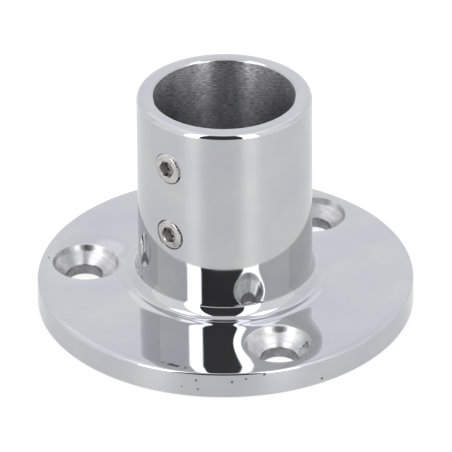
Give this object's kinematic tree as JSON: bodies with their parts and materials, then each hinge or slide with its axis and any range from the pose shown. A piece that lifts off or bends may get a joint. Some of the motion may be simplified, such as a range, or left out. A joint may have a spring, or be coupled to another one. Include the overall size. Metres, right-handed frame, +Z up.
{
  "type": "tube clamp base flange",
  "caption": "Round base flange with an upright socket for a tube, countersunk fixing holes and set screws that clamp the tube.",
  "frame": {"origin": "centre of the flange's underside, on the socket's axis", "axes": "+Z up the socket's axis, out of its open mouth; the set screws face -Y, midway between two of the fixing holes; +X to the right of them, seen from outside"},
  "size_m": [0.07, 0.07, 0.0426],
  "materials": {
    "polished_steel": "cast stainless steel, mirror polished outside, turned inside the bore and the countersinks",
    "screw_steel": "bright stainless steel set screws"
  },
  "bodies": {
    "root": {"base_casting": "polished_steel", "set_screw_lower": "screw_steel", "set_screw_upper": "screw_steel"}
  },
  "joints": []
}
